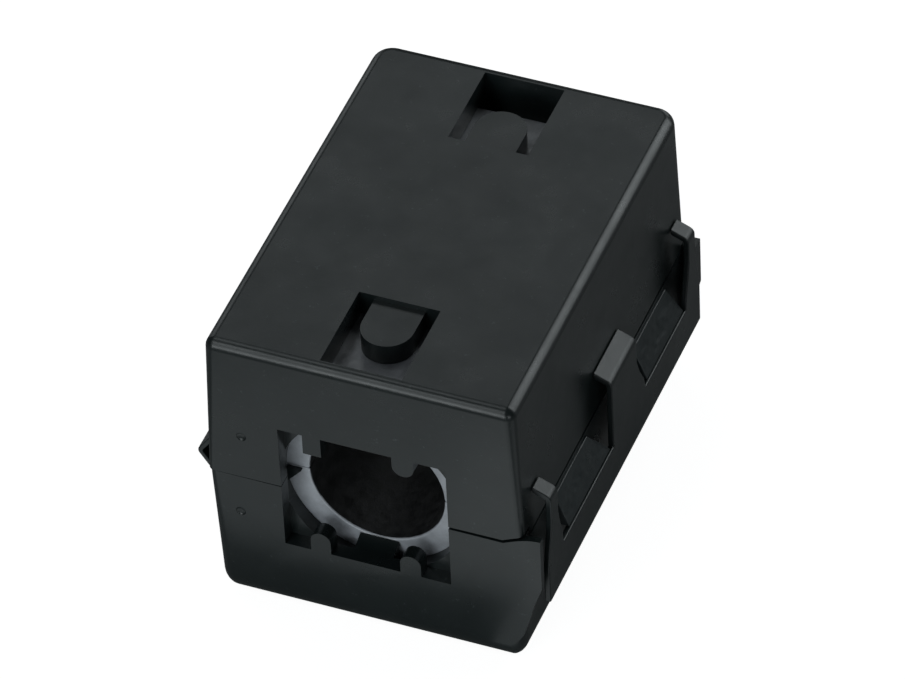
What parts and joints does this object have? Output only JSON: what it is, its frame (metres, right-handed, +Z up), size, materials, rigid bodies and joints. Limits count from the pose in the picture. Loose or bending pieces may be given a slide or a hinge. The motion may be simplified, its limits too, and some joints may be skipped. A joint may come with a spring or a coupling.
{
  "type": "clip-on ferrite bead",
  "caption": "Snap-shut plastic case around a split ferrite core, with a living hinge on one side and a latch on the other, clipped over a cable.",
  "frame": {"origin": "on the axis of the cable bore, at mid length, level with the parting plane of the two halves", "axes": "+X from the hinge side to the latch side, +Y along the cable, +Z up through the lid with the spring tongues"},
  "size_m": [0.0262, 0.033, 0.0244],
  "materials": {
    "case": "satin",
    "ferrite": "satin"
  },
  "bodies": {
    "base": {"lower_shell": "case", "lower_core": "ferrite", "hinge_strap_front": "case", "hinge_strap_rear": "case"},
    "lid": {"upper_shell": "case", "upper_core": "ferrite"},
    "latch": {"latch_flap": "case"}
  },
  "joints": [
    {"name": "lid_hinge", "type": "hinge", "parent": "base", "child": "lid", "pos_m": [-0.0128, 0, 0], "axis": [0, -1, 0], "range_deg": [0, 175], "deforming": ["hinge_strap_front", "hinge_strap_rear"]},
    {"name": "latch_flex", "type": "hinge", "parent": "lid", "child": "latch", "pos_m": [0.01164, 0, 0.0037], "axis": [0, -1, 0], "range_deg": [0, 6], "stiffness_Nm_per_rad": 0.3}
  ]
}
